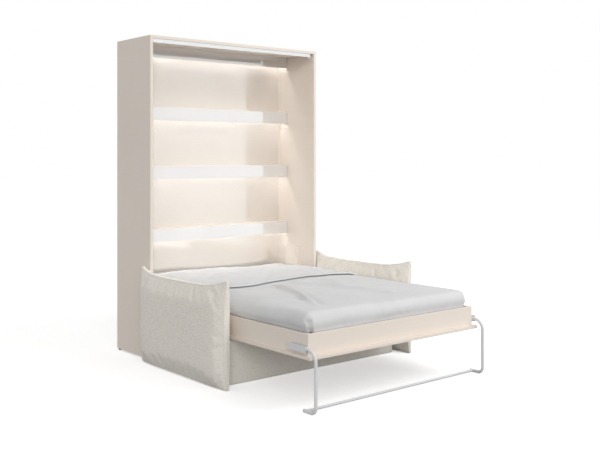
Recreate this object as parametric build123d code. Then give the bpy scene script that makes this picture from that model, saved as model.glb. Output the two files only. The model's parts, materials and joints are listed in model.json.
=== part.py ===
"""Wall bed: a shelved cabinet whose bed swings down over a sofa base and stands on a folding leg.

Millimetres, +Z up. Lengths below are given from the cabinet's own datum: X = 0 on the centre line,
Y = 0 on the cabinet's front plane with +Y towards the wall, Z = 0 on the floor. Everything is moved
along Y at the end, so that the origin is the centre of the whole footprint.
"""
from build123d import *
from math import atan2, degrees, hypot
import os

# Cabinet
CABINET_W = 1550
CABINET_H = 2310
CABINET_D = 490
CARCASS_T = 22
BOARD_T = 18
GLIDE_H = 10
GLIDE_R = 10
EDGE_R = 1.0
BASE_BOARD_TOP = 150

# Light shelves: height of each fascia's lower edge above the floor
FASCIA_BOTTOMS = (2197, 1724, 1275, 798)
FASCIA_H = 98
FASCIA_Y = 344
FASCIA_GAP = 5
LED_SETBACK = 46
LED_W = 18
LED_H = 9

# Bed frame
RAIL_HALF_W = 720
RAIL_TOP = 441
FOOT_Y = -1661
HEAD_Y = 385
PANEL_HALF_W = 737
PANEL_FRONT_Y = -1697
PANEL_Z = 299
PIVOT_Y = 128
PIVOT_Z = PANEL_Z + PIVOT_Y
MATTRESS_T = 140
MATTRESS_Z = 385
DUVET_TOP = 546
DUVET_WRAP = 12
FOLD_Y = -600
FOLD_TOP = 576

# Folding leg
TUBE_R = 10
TUBE_WALL = 2
TUBE_X = 733
TUBE_Z = 358
LEG_Y = -1742
LEG_PIVOT_Y = -1654
LEG_PIN_R = 5
HUB_R = 12
HUB_W = 17
UPPER_BEND_R = 66
LOWER_BEND_R = 35
FOOT_END_Y = -1644
CROSSBAR_R = 8
CROSSBAR_Y = -1657

# Lift mechanism, on both sides
STRUT_X = 738
STRUT_TOP = (300, 650)
STRUT_PIN_OFFSET = (110, -10)
CYLINDER_R = 8
CYLINDER_L = 195
ROD_R = 3.5
RUNNING_FIT = 0.05
PIN_R = 8
STRUT_PIN_R = 5

# Sofa
ARM_INNER_X = 757
ARM_OUTER_X = 868
ARM_FRONT_Y = -1012
ARM_TOP = 675
SEAT_HALF_W = 752
SEAT_FRONT_Y = -905
SEAT_TOP = 292
SOFA_FOOT_H = 5

# Worked out
SIDE_IN = CABINET_W / 2 - CARCASS_T
CEILING = CABINET_H - CARCASS_T
BACK_Y = CABINET_D - BOARD_T
FLOOR_BOARD_TOP = GLIDE_H + CARCASS_T
PANEL_TOP = PANEL_Z + BOARD_T
RAIL_IN = RAIL_HALF_W - BOARD_T
PLATE_IN = SIDE_IN - 4
FRONT_MOST = LEG_Y - TUBE_R
ORIGIN_Y = (FRONT_MOST + CABINET_D) / 2
SIDES = (("left", -1), ("right", 1))


def block(x, y, z, edge=0.0):
    """A box between two limits on each axis, its edges rounded by `edge`."""
    spans = [sorted(pair) for pair in (x, y, z)]
    sizes = [high - low for low, high in spans]
    centre = [(high + low) / 2 for low, high in spans]
    solid = Pos(*centre) * Box(*sizes)
    return fillet(solid.edges(), edge) if edge else solid


def rod_along_x(x, y, z, radius):
    """A round bar along X between two X limits."""
    low, high = sorted(x)
    return Pos((low + high) / 2, y, z) * Rot(Y=90) * Cylinder(radius, high - low)


def plate_across_x(x, outline):
    """A flat plate between two X limits, cut to a (y, z) outline."""
    low, high = sorted(x)
    face = make_face(Polyline(*outline, close=True))
    upright = Plane(origin=(low, 0, 0), x_dir=(0, 1, 0), z_dir=(1, 0, 0))
    return extrude(upright * face, high - low)


def mirrored(pair, side):
    """An X span given for the right-hand side, moved to the side asked for."""
    return tuple(side * value for value in pair)


def carcass():
    """Side panels, top, floor board, front base board and back."""
    made = {}
    depth = (0, CABINET_D)
    for name, side in SIDES:
        span = mirrored((SIDE_IN, CABINET_W / 2), side)
        made[f"side_panel_{name}"] = block(span, depth, (GLIDE_H, CABINET_H), EDGE_R)
    inside = (-SIDE_IN, SIDE_IN)
    made["top_panel"] = block(inside, depth, (CEILING, CABINET_H), EDGE_R)
    made["floor_board"] = block(inside, (BOARD_T, BACK_Y), (GLIDE_H, FLOOR_BOARD_TOP), EDGE_R)
    made["base_board"] = block(inside, (0, BOARD_T), (GLIDE_H, BASE_BOARD_TOP), EDGE_R)
    made["back_panel"] = block(inside, (BACK_Y, CABINET_D), (GLIDE_H, CEILING))
    return made


def glides():
    """Four turned glides under the side panels."""
    spots = [(side * (CABINET_W / 2 - CARCASS_T / 2), y) for _, side in SIDES for y in (25, CABINET_D - 25)]
    return Compound([Pos(x, y, GLIDE_H / 2) * Cylinder(GLIDE_R, GLIDE_H) for x, y in spots])


def light_shelves():
    """Gloss fascias with a shelf board and a light profile behind each; the top one hangs from the ceiling."""
    made = {}
    profiles, diffusers = [], []
    fascia_x = (-SIDE_IN + FASCIA_GAP, SIDE_IN - FASCIA_GAP)
    shelf_y = (FASCIA_Y + BOARD_T, BACK_Y)
    for number, bottom in enumerate(FASCIA_BOTTOMS, start=1):
        top = min(bottom + FASCIA_H, CEILING)
        made[f"shelf_fascia_{number}"] = block(fascia_x, (FASCIA_Y, FASCIA_Y + BOARD_T), (bottom, top), EDGE_R)
        underside = top
        if top < CEILING:
            underside = top - BOARD_T
            made[f"shelf_board_{number}"] = block((-SIDE_IN, SIDE_IN), shelf_y, (underside, top), EDGE_R)
        led_y = FASCIA_Y + BOARD_T + LED_SETBACK
        profiles.append(light_profile(fascia_x, led_y, underside))
        diffusers.append(light_diffuser(fascia_x, led_y, underside))
    made["led_profiles"] = Compound(profiles)
    made["led_diffusers"] = Compound(diffusers)
    return made


def light_profile(span, y, underside):
    """A U channel, open downwards, under a shelf."""
    wall = 2
    outer = block(span, (y - LED_W / 2, y + LED_W / 2), (underside - LED_H, underside))
    slot = block(span, (y - LED_W / 2 + wall, y + LED_W / 2 - wall), (underside - LED_H, underside - wall))
    return outer - slot


def light_diffuser(span, y, underside):
    """The opal strip that fills the channel's mouth and stands a little proud of it."""
    wall, depth, proud = 2, 3, 1
    low = underside - LED_H - proud
    strip = (y - LED_W / 2 + wall, y + LED_W / 2 - wall)
    return block(span, strip, (low, low + depth + proud))


def closing_strip():
    """Aluminium profile that the raised bed closes against, and the two end brackets that hold it."""
    strip_y, strip_h, wall, end_gap = (8, 30), 27, 2, 34
    span = (-SIDE_IN, SIDE_IN - end_gap)
    outer = block(span, strip_y, (CEILING - strip_h, CEILING), 0.8)
    groove = block(span, (strip_y[0] + wall, strip_y[1]), (CEILING - strip_h + wall, CEILING - wall))
    brackets = []
    for _, side in SIDES:
        reach = (SIDE_IN - 2, SIDE_IN - 30) if side > 0 else (-SIDE_IN + 4, -SIDE_IN + 30)
        pad = block(reach, (32, 44), (CEILING - 34, CEILING), 3)
        brackets.append(pad)
    return {"closing_profile": outer - groove, "closing_brackets": Compound(brackets)}


def wall_brackets():
    """Two steel angles under the top panel at the back, and the wall holes through angle and back panel."""
    leg, steel, width, hole_r, offset, drop = 50, 3, 60, 4.5, 600, 30
    angles, holes = [], []
    for side in (-1, 1):
        span = (side * offset - width / 2, side * offset + width / 2)
        upright = block(span, (BACK_Y - steel, BACK_Y), (CEILING - leg, CEILING))
        flat = block(span, (BACK_Y - leg, BACK_Y), (CEILING - steel, CEILING))
        hole = Pos(side * offset, BACK_Y, CEILING - drop) * Rot(X=90) * Cylinder(hole_r, 80)
        angles.append(upright + flat - hole)
        holes.append(hole)
    return Compound(angles), holes


def light_driver():
    """The lamps' supply, on the floor board behind the sofa."""
    case = block((-90, 90), (400, 445), (FLOOR_BOARD_TOP, FLOOR_BOARD_TOP + 24), 3)
    return case


def side_mechanism(side):
    """Side plate, its pivot pin and its strut pin."""
    pivot = (PIVOT_Y, PIVOT_Z)
    outline = [(95, 392), (260, 392), (322, 470), (322, 690), (214, 690), (171, 466), (95, 466)]
    plate = plate_across_x(mirrored((PLATE_IN, SIDE_IN), side), outline)
    flange = rod_along_x(mirrored((PLATE_IN - 3, PLATE_IN), side), *pivot, PIN_R + 5)
    pin = rod_along_x(mirrored((RAIL_HALF_W + 0.5, PLATE_IN), side), *pivot, PIN_R)
    strut_pin = rod_along_x(mirrored((STRUT_X - 5, PLATE_IN), side), *STRUT_TOP, STRUT_PIN_R)
    return plate, flange + pin, strut_pin


def mechanism_cover(side):
    """A shallow tapered box with four walls, open underneath and towards the side panel."""
    low, high, rear, wall = 470, 700, 336, 2.5
    lean = (208 - 162) / (high - low)
    outer_x = mirrored((SIDE_IN - 29, SIDE_IN), side)
    inner_x = mirrored((SIDE_IN - 29 + wall, SIDE_IN), side)
    outer = plate_across_x(outer_x, [(162, low), (rear, low), (rear, high), (208, high)])
    front_low, front_high = 162 + wall, 208 + wall - lean * wall
    room = [(front_low, low), (rear - wall, low), (rear - wall, high - wall), (front_high, high - wall)]
    return outer - plate_across_x(inner_x, room)


def mechanism_screws():
    """Button heads that hold each side plate to its side panel."""
    spots = [(110, 450), (245, 405), (305, 500), (225, 680), (310, 680)]
    heads = []
    for _, side in SIDES:
        for y, z in spots:
            heads.append(rod_along_x(mirrored((PLATE_IN - 2, PLATE_IN), side), y, z, 5))
    return Compound(heads)


def strut(side):
    """Gas strut as it lies with the bed down: cylinder on the side plate's pin, rod towards the bed's pin."""
    run = (PIVOT_Y + STRUT_PIN_OFFSET[0] - STRUT_TOP[0], PIVOT_Z + STRUT_PIN_OFFSET[1] - STRUT_TOP[1])
    length = hypot(*run)
    lean = degrees(atan2(-run[0], -run[1]))
    place = Pos(side * STRUT_X, *STRUT_TOP) * Rot(X=-lean)
    eye_w, eye_r, wall, cap, gland = 8, 9, 1.2, 8, 14

    def along(start, end, radius):
        """A round bar on the strut's own axis, `start` to `end` below the top pin."""
        return Pos(0, 0, -(start + end) / 2) * Cylinder(radius, end - start)

    eye = Rot(Y=90) * Cylinder(eye_r, eye_w)
    top_bore = Rot(Y=90) * Cylinder(STRUT_PIN_R + RUNNING_FIT, eye_w)
    body = along(eye_r - 1, CYLINDER_L, CYLINDER_R)
    chamber = along(eye_r + cap, CYLINDER_L - gland, CYLINDER_R - wall)
    guide = along(CYLINDER_L - gland, CYLINDER_L, ROD_R + RUNNING_FIT)
    cylinder = body + eye - top_bore - chamber - guide

    tail = length - 208
    piston = along(tail, tail + 8, CYLINDER_R - wall - RUNNING_FIT)
    rod_eye = Pos(0, 0, -length) * Rot(Y=90) * Cylinder(eye_r, eye_w)
    rod_bore = Pos(0, 0, -length) * Rot(Y=90) * Cylinder(STRUT_PIN_R + RUNNING_FIT, eye_w)
    rod = piston + along(tail, length - eye_r + 2, ROD_R) + rod_eye - rod_bore
    return place * cylinder, place * rod


def bed_box():
    """Bottom panel, four rails, ledges, centre beam and corner brackets."""
    made = {}
    panel_x = (-PANEL_HALF_W, PANEL_HALF_W)
    rail_z = (PANEL_TOP, RAIL_TOP)
    foot_in, head_in = FOOT_Y + BOARD_T, HEAD_Y - BOARD_T
    made["bed_panel"] = block(panel_x, (PANEL_FRONT_Y, HEAD_Y), (PANEL_Z, PANEL_TOP), 1.5)
    for name, side in SIDES:
        span = mirrored((RAIL_IN, RAIL_HALF_W), side)
        made[f"side_rail_{name}"] = block(span, (foot_in, HEAD_Y), rail_z, EDGE_R)
    made["foot_rail"] = block((-RAIL_HALF_W, RAIL_HALF_W), (FOOT_Y, foot_in), rail_z, EDGE_R)
    made["head_rail"] = block((-RAIL_IN, RAIL_IN), (head_in, HEAD_Y), rail_z, EDGE_R)
    ledge_z = (PANEL_TOP, 365)
    ledges = [block(mirrored((RAIL_IN - 20, RAIL_IN), side), (foot_in, head_in), ledge_z) for _, side in SIDES]
    made["slat_ledges"] = Compound(ledges)
    made["centre_beam"] = block((-15, 15), (foot_in, head_in), ledge_z)
    made["corner_brackets"] = Compound([corner_bracket(x, y) for x in (-1, 1) for y in (foot_in, head_in)])
    return made


def corner_bracket(side, rail_y):
    """A steel angle inside one corner of the frame, above the slat ledge."""
    leg, steel, low, high = 34, 3, 386, 432
    inward = 1 if rail_y < 0 else -1
    across = block(mirrored((RAIL_IN - leg, RAIL_IN), side), (rail_y, rail_y + inward * steel), (low, high))
    along = block(mirrored((RAIL_IN - steel, RAIL_IN), side), (rail_y, rail_y + inward * leg), (low, high))
    return across + along


def slat_base():
    """Two rows of sprung slats, with their holders on the ledges and the centre beam."""
    count, width, thick, first, last = 14, 53, 8, -1570, 290
    low = 365
    holder = 6
    slats, holders = [], []
    for index in range(count):
        y = first + (last - first) * index / (count - 1)
        across = (y - width / 2, y + width / 2)
        for side in (-1, 1):
            slats.append(block(mirrored((6, RAIL_IN - 6), side), across, (low + holder, low + holder + thick)))
            grip = (y - width / 2 - 4, y + width / 2 + 4)
            holders.append(block(mirrored((RAIL_IN - 20, RAIL_IN - 1), side), grip, (low, low + holder)))
        holders.append(block((-15, 15), (y - width / 2 - 4, y + width / 2 + 4), (low, low + holder)))
    return {"slats": Compound(slats), "slat_holders": Compound(holders)}


def hinge_arm(side):
    """Steel arm on the rail with the strut's stub pin, and the bush in the arm."""
    outline = [(64, 340), (270, 340), (270, 432), (150, 446), (106, 446), (64, 430)]
    steel = 5
    face = RAIL_HALF_W
    arm = plate_across_x(mirrored((face, face + steel), side), outline)
    pivot = (PIVOT_Y, PIVOT_Z)
    bush_r = PIN_R + 3
    arm -= rod_along_x(mirrored((face, face + steel), side), *pivot, bush_r)
    sleeve = rod_along_x(mirrored((face, face + steel + 2), side), *pivot, bush_r)
    collar = rod_along_x(mirrored((face + steel, face + steel + 2), side), *pivot, bush_r + 3)
    bore = rod_along_x(mirrored((face, face + steel + 2), side), *pivot, PIN_R + RUNNING_FIT)
    stub_at = (PIVOT_Y + STRUT_PIN_OFFSET[0], PIVOT_Z + STRUT_PIN_OFFSET[1])
    arm += rod_along_x(mirrored((face + steel, STRUT_X - 4.5), side), *stub_at, STRUT_PIN_R)
    return arm, sleeve + collar - bore


def bedding():
    """Mattress, the duvet wrapped over it and the duvet's turned-back head end."""
    foot, head = FOOT_Y + BOARD_T + 1, HEAD_Y - BOARD_T - 1
    side = RAIL_IN - 1
    tucked = 400
    mattress_x = side - DUVET_WRAP - 1
    mattress_y = (foot + DUVET_WRAP + 1, head)
    mattress_z = (MATTRESS_Z, MATTRESS_Z + MATTRESS_T)
    mattress = block((-mattress_x, mattress_x), mattress_y, mattress_z, 20)
    mattress -= block((-mattress_x, mattress_x), (head - 30, head), (MATTRESS_Z, 440))
    cover = block((-side, side), (foot, head - 3), (445, DUVET_TOP))
    skirt = block((-side, side), (foot + 4, head - 60), (tucked + 36, 445))
    room = block((-mattress_x - 1, mattress_x + 1), (mattress_y[0] - 1, head), (tucked, mattress_z[1] + 1))
    fold = block((-side, side), (FOLD_Y, head - 4), (DUVET_TOP + 1, FOLD_TOP), 10)
    return {"mattress": mattress, "duvet": cover + skirt - room, "duvet_fold": fold}


def leg_bracket(side):
    """Bracket of base plate, cover plate and rear spacer, open all round its front half, and its pin."""
    front, rear, spacer_t = -1668, -1516, 8
    low, high = TUBE_Z - 20, TUBE_Z + 20
    base = block(mirrored((RAIL_HALF_W, RAIL_HALF_W + 2), side), (FOOT_Y, rear), (low, high))
    cover = block(mirrored((TUBE_X + TUBE_R + 1, TUBE_X + TUBE_R + 3), side), (front, rear), (low, high))
    gap = mirrored((RAIL_HALF_W + 2, TUBE_X + TUBE_R + 1), side)
    spacer = block(gap, (rear - spacer_t, rear), (low, high))
    outside = TUBE_X + TUBE_R + 3
    bore = rod_along_x(mirrored((RAIL_HALF_W, outside), side), LEG_PIVOT_Y, TUBE_Z, LEG_PIN_R)
    pin = rod_along_x(mirrored((RAIL_HALF_W, outside + 1), side), LEG_PIVOT_Y, TUBE_Z, LEG_PIN_R)
    return base + cover + spacer - bore, pin


def leg_path(side):
    """Centre line of one leg tube: forward from the pivot, down in front of the panel, back at the floor."""
    x = side * TUBE_X
    floor = TUBE_R
    start = LEG_PIVOT_Y - HUB_R + 3
    corners = [(x, start, TUBE_Z), (x, LEG_Y, TUBE_Z), (x, LEG_Y, floor), (x, FOOT_END_Y, floor)]
    return FilletPolyline(*corners, radius=[UPPER_BEND_R, LOWER_BEND_R])


def leg_tube(side, radius):
    """A round bar of one radius along the leg's centre line."""
    path = leg_path(side)
    section = Plane(origin=path @ 0, z_dir=path % 0) * Circle(radius)
    return sweep(section, path)


def leg_frame():
    """Two bent tubes, the floor bar between them and the plugs in their feet."""
    made = {}
    bar = rod_along_x((-TUBE_X + 4, TUBE_X - 4), CROSSBAR_Y, TUBE_R, CROSSBAR_R)
    plugs = []
    for name, side in SIDES:
        outer = leg_tube(side, TUBE_R)
        hub_x = mirrored((TUBE_X - HUB_W / 2, TUBE_X + HUB_W / 2), side)
        hub = rod_along_x(hub_x, LEG_PIVOT_Y, TUBE_Z, HUB_R)
        bore = rod_along_x(hub_x, LEG_PIVOT_Y, TUBE_Z, LEG_PIN_R + RUNNING_FIT)
        made[f"leg_tube_{name}"] = outer - leg_tube(side, TUBE_R - TUBE_WALL) + hub - bore
        bar -= outer
        place = Pos(side * TUBE_X, 0, TUBE_R) * Rot(X=90)
        cap = Pos(0, 0, -FOOT_END_Y - 1.5) * Cylinder(TUBE_R - 0.3, 3)
        stem = Pos(0, 0, -FOOT_END_Y + 5) * Cylinder(TUBE_R - TUBE_WALL, 10)
        plugs.append(place * (cap + stem))
    made["leg_crossbar"] = bar
    made["leg_end_caps"] = Compound(plugs)
    return made


def sofa():
    """Seat base and two pillow arms, each over a timber core, on small feet."""
    made = {}
    seat_x, seat_y = (-SEAT_HALF_W, SEAT_HALF_W), (SEAT_FRONT_Y, -4)
    frame_x, frame_y, frame_top = 722, (-872, -32), 180
    cover = block(seat_x, seat_y, (SOFA_FOOT_H, SEAT_TOP), 16)
    cover -= block((-frame_x, frame_x), frame_y, (0, frame_top))
    made["seat_upholstery"] = cover
    made["seat_frame"] = seat_frame(frame_x, frame_y, frame_top)
    cores = []
    middle = (ARM_INNER_X + ARM_OUTER_X) / 2
    for name, side in SIDES:
        span = mirrored((ARM_INNER_X, ARM_OUTER_X), side)
        arm = block(span, (ARM_FRONT_Y, -4), (SOFA_FOOT_H, ARM_TOP), 30)
        core = block(mirrored((middle - 9, middle + 9), side), (-940, -70), (SOFA_FOOT_H, 560))
        made[f"arm_{name}"] = arm - core
        cores.append(core)
    made["arm_cores"] = Compound(cores)
    feet = [(x, y) for x in (-680, 0, 680) for y in (-850, -60)]
    feet += [(side * middle, y) for side in (-1, 1) for y in (-900, -110)]
    made["sofa_feet"] = Compound([sofa_foot(x, y) for x, y in feet])
    return made


def seat_frame(half_w, y, top):
    """A ring of boards with two cross members."""
    low = SOFA_FOOT_H
    front = block((-half_w, half_w), (y[0], y[0] + BOARD_T), (low, top))
    rear = block((-half_w, half_w), (y[1] - BOARD_T, y[1]), (low, top))
    between = (y[0] + BOARD_T, y[1] - BOARD_T)
    places = (-half_w + BOARD_T / 2, -680 / 3, 680 / 3, half_w - BOARD_T / 2)
    ribs = [block((x - BOARD_T / 2, x + BOARD_T / 2), between, (low, top)) for x in places]
    return Compound([front, rear, *ribs])


def sofa_foot(x, y):
    """A round plastic glide."""
    return Pos(x, y, SOFA_FOOT_H / 2) * Cylinder(14, SOFA_FOOT_H)


def build():
    """Every node by name."""
    parts = carcass()
    angles, holes = wall_brackets()
    for hole in holes:
        parts["back_panel"] -= hole
    parts["wall_brackets"] = angles
    parts["cabinet_glides"] = glides()
    parts.update(light_shelves())
    parts.update(closing_strip())
    parts["led_driver"] = light_driver()
    parts["mech_screws"] = mechanism_screws()
    parts.update(bed_box())
    parts.update(slat_base())
    parts.update(bedding())
    pins = {"pivot_pins": [], "strut_pins": [], "pivot_bushes": [], "leg_pins": []}
    for name, side in SIDES:
        parts[f"mech_plate_{name}"], pivot_pin, strut_pin = side_mechanism(side)
        parts[f"mech_cover_{name}"] = mechanism_cover(side)
        parts[f"gas_cylinder_{name}"], parts[f"gas_rod_{name}"] = strut(side)
        parts[f"hinge_arm_{name}"], bush = hinge_arm(side)
        parts[f"leg_bracket_{name}"], leg_pin = leg_bracket(side)
        for group, solid in zip(pins.values(), (pivot_pin, strut_pin, bush, leg_pin)):
            group.append(solid)
    parts.update({node: Compound(solids) for node, solids in pins.items()})
    parts.update(leg_frame())
    parts.update(sofa())
    return parts


os.makedirs("parts", exist_ok=True)
for node, shape in build().items():
    export_step(Pos(0, -ORIGIN_Y, 0) * shape, f"parts/{node}.step")
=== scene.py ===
"""Wall bed with a light-shelf cabinet, a folding leg and a sofa base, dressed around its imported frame.

Lengths are metres in the row frame. The soft pieces are worked out in millimetres from the cabinet's datum
(X = 0 on the centre line, Y = 0 on the cabinet's front plane, Z = 0 on the floor) and placed at the end.
"""

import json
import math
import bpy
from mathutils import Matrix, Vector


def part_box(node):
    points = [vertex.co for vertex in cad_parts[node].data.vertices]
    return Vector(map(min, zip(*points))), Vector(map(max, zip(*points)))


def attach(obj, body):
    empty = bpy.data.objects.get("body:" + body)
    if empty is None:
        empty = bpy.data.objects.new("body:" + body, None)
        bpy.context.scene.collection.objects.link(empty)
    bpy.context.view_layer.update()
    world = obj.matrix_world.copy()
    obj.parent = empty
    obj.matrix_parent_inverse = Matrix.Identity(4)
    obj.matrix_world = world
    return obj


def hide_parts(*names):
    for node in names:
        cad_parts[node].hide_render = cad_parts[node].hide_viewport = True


bl_info = {
    "name": "Wall Bed Maker",
    "version": (1, 0, 0),
    "blender": (4, 5, 0),
    "location": "View3D > Sidebar > Wall Bed",
    "description": "Finishes a wall bed and sews its arms, seat and bedding",
    "category": "Add Mesh",
}

import bpy
import numpy as np
from bpy.props import FloatProperty, FloatVectorProperty, PointerProperty
from mathutils import Vector

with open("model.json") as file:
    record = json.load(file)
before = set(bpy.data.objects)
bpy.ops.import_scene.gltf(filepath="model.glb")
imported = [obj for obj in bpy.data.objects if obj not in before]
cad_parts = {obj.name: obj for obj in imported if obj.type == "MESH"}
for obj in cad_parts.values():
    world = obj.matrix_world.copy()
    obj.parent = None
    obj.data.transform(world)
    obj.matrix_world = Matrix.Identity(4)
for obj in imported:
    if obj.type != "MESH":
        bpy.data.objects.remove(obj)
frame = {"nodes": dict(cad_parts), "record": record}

MM = 0.001
FRONT_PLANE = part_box("side_panel_left")[0][1]


# ---------------------------------------------------------------- sizes and colours

def colour_property(name, description, default):
    """A colour that a user may change, in linear light."""
    return FloatVectorProperty(
        name=name, description=description, default=default, subtype="COLOR", size=3, min=0, max=1
    )


def length_property(name, description, default):
    """A length that a user may change, in metres."""
    return FloatProperty(name=name, description=description, default=default, unit="LENGTH", min=0)


def strength_property(name, description, default):
    """The strength of a light, which a user may change."""
    return FloatProperty(name=name, description=description, default=default, min=0)


class CabinetColours(bpy.types.PropertyGroup):
    board: colour_property("Board", "Cashmere melamine of the carcass and bed frame", (0.765, 0.69, 0.615))
    back: colour_property("Back", "Gloss back panel", (0.75, 0.70, 0.645))
    fascia: colour_property("Fascia", "Gloss fascias of the light shelves", (0.84, 0.83, 0.82))
    lamp: colour_property("Lamp", "Light of the strips", (0.96, 0.98, 1.0))
    lamp_power: strength_property("Lamp strength", "Emission of the opal strips", 24.5)


class HardwareColours(bpy.types.PropertyGroup):
    leg: colour_property("Leg", "Powder coat of the folding leg", (0.66, 0.66, 0.67))
    plastic: colour_property("Plastic", "Covers of the lift mechanism", (0.80, 0.74, 0.66))
    steel: colour_property("Steel", "Zinc-plated plates and angles", (0.52, 0.53, 0.54))


class SofaSizes(bpy.types.PropertyGroup):
    cloth: colour_property("Boucle", "Looped cloth of the arms and the seat", (0.80, 0.76, 0.69))
    nub: length_property("Loop size", "Width of one loop of the cloth", 0.010)
    nub_height: length_property("Loop height", "How far a loop stands out", 0.0014)
    arm_bulge: length_property("Arm bulge", "Half the thickness of a full arm cushion", 0.053)
    arm_boxing: length_property("Arm boxing", "Half the width of the strip round an arm cushion", 0.021)
    welt: length_property("Welt radius", "Radius of the piping round each cushion", 0.0028)


class BeddingSizes(bpy.types.PropertyGroup):
    linen: colour_property("Linen", "Cloth of the duvet", (0.63, 0.63, 0.635))
    ticking: colour_property("Ticking", "Cloth of the mattress", (0.78, 0.77, 0.75))
    crown: length_property("Duvet top", "Height of the duvet's top above the floor", 0.549)
    fold: length_property("Fold thickness", "Thickness of the turned-back end", 0.012)


class StudioSetup(bpy.types.PropertyGroup):
    floor: colour_property("Floor", "Pale studio floor", (0.30, 0.30, 0.30))
    horizon: strength_property("Horizon", "Strength of the light from all round", 0.75)
    zenith: strength_property("Zenith", "Strength of the light from overhead", 0.46)
    key: strength_property("Key", "Watts of the soft light above the front right", 158.0)
    fill: strength_property("Fill", "Strength of the soft light from the left", 1.2)


GROUPS = {
    "bed_cabinet": CabinetColours,
    "bed_hardware": HardwareColours,
    "bed_sofa": SofaSizes,
    "bed_bedding": BeddingSizes,
    "bed_studio": StudioSetup,
}


# ---------------------------------------------------------------- finishes

def math_operators(operation):
    """An operator of Number and its reflected form, which each add one Math node."""
    return (lambda self, other: self.math(operation, self, other),
            lambda self, other: self.math(operation, other, self))


class Number:
    """A value socket in sums: each operator adds the Math node that does it."""

    def __init__(self, finish, socket):
        self.finish = finish
        self.socket = socket

    def math(self, operation, *values):
        return self.finish.node("ShaderNodeMath", {"operation": operation}, dict(enumerate(values)))

    __add__, __radd__ = math_operators("ADD")
    __sub__, __rsub__ = math_operators("SUBTRACT")
    __mul__, __rmul__ = math_operators("MULTIPLY")
    __truediv__, __rtruediv__ = math_operators("DIVIDE")

    def clamped(self):
        return self.math("MINIMUM", self.math("MAXIMUM", self, 0.0), 1.0)

    def between(self, low, high):
        """0 below `low`, 1 above `high`, and even between them."""
        return ((self - low) / (high - low)).clamped()


class Finish:
    """One material: constants go straight on the shader, and patterns are added with node()."""

    def __init__(self, name, **constants):
        self.material = bpy.data.materials.new(name)
        self.material.use_nodes = True
        self.tree = self.material.node_tree
        self.shader = next(n for n in self.tree.nodes if n.type == "BSDF_PRINCIPLED")
        for key, value in constants.items():
            self.set(key.replace("_", " ").title().replace("Ior", "IOR"), value)

    def set(self, socket_name, value):
        """A constant, or a pattern's output, on one of the shader's sockets."""
        self.fill(self.shader.inputs[socket_name], value)

    def fill(self, socket, value):
        """Links a socket, or gives it a constant."""
        if isinstance(value, Number):
            value = value.socket
        if isinstance(value, bpy.types.NodeSocket):
            self.tree.links.new(value, socket)
        elif socket.type == "RGBA" and len(value) == 3:
            socket.default_value = (*value, 1.0)
        else:
            socket.default_value = value

    def node(self, kind, settings=None, inputs=None, output=0):
        """Adds a node of a type, applies its settings, then fills its sockets, and gives back one output."""
        made = self.tree.nodes.new(kind)
        for key, value in (settings or {}).items():
            if key == "stops":
                for element, (place, shade) in zip(self.ramp_elements(made, len(value)), value):
                    element.position = place
                    element.color = (*shade, 1.0)
            else:
                setattr(made, key, value)
        for key, value in (inputs or {}).items():
            self.fill(self.find(made.inputs, key), value)
        result = self.find(made.outputs, output)
        return Number(self, result) if result.type == "VALUE" else result

    @staticmethod
    def ramp_elements(made, count):
        """A ramp's stops, with as many as asked for."""
        elements = made.color_ramp.elements
        while len(elements) < count:
            elements.new(1.0)
        return list(elements)

    @staticmethod
    def find(sockets, key):
        """A socket by its place, identifier or name, the ones in use first."""
        if isinstance(key, int):
            return sockets[key]
        matches = [s for s in sockets if key in (s.identifier, s.name)]
        return next((s for s in matches if s.enabled), matches[0])

    def place(self, stretch=(1, 1, 1)):
        """Object coordinates, multiplied along each axis."""
        source = self.node("ShaderNodeTexCoord", output="Object")
        return self.node("ShaderNodeMapping", {}, {"Vector": source, "Scale": stretch}, "Vector")

    def noise(self, scale, stretch=(1, 1, 1), detail=3.0, roughness=0.5):
        """Soft noise, about 0.5 on average, over Object coordinates."""
        inputs = {"Vector": self.place(stretch), "Scale": scale, "Detail": detail, "Roughness": roughness}
        return self.node("ShaderNodeTexNoise", {}, inputs, "Fac")

    def cells(self, scale, stretch=(1, 1, 1)):
        """Distance to the nearest of scattered points."""
        inputs = {"Vector": self.place(stretch), "Scale": scale}
        return self.node("ShaderNodeTexVoronoi", {}, inputs, "Distance")

    def waves(self, scale, direction, distortion=0.0):
        """Even bands across one axis."""
        settings = {"wave_type": "BANDS", "bands_direction": direction}
        inputs = {"Vector": self.place(), "Scale": scale, "Distortion": distortion, "Detail": 2.0}
        return self.node("ShaderNodeTexWave", settings, inputs, "Fac")

    def mix(self, mask, low, high):
        """A colour between two, by a mask."""
        settings = {"data_type": "RGBA", "blend_type": "MIX"}
        inputs = {"Factor_Float": mask, "A_Color": low, "B_Color": high}
        return self.node("ShaderNodeMix", settings, inputs, "Result_Color")

    def ramp(self, value, stops):
        """A colour by a value, through named stops."""
        return self.node("ShaderNodeValToRGB", {"stops": stops}, {"Fac": value}, "Color")

    def tone(self, mask, colour, darkest, palest):
        """Sets the base colour: two shades of one colour, mixed by a mask."""
        self.set("Base Color", self.mix(mask, shade(colour, darkest), shade(colour, palest)))

    def bump(self, height, depth, strength, under=None):
        """A Normal from a height, whose full range is `depth` metres."""
        inputs = {"Height": height, "Distance": depth, "Strength": strength}
        if under is not None:
            inputs["Normal"] = under
        return self.node("ShaderNodeBump", {}, inputs, "Normal")


def shade(colour, factor):
    """A colour made lighter or darker."""
    return tuple(min(1.0, c * factor) for c in colour)


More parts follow.
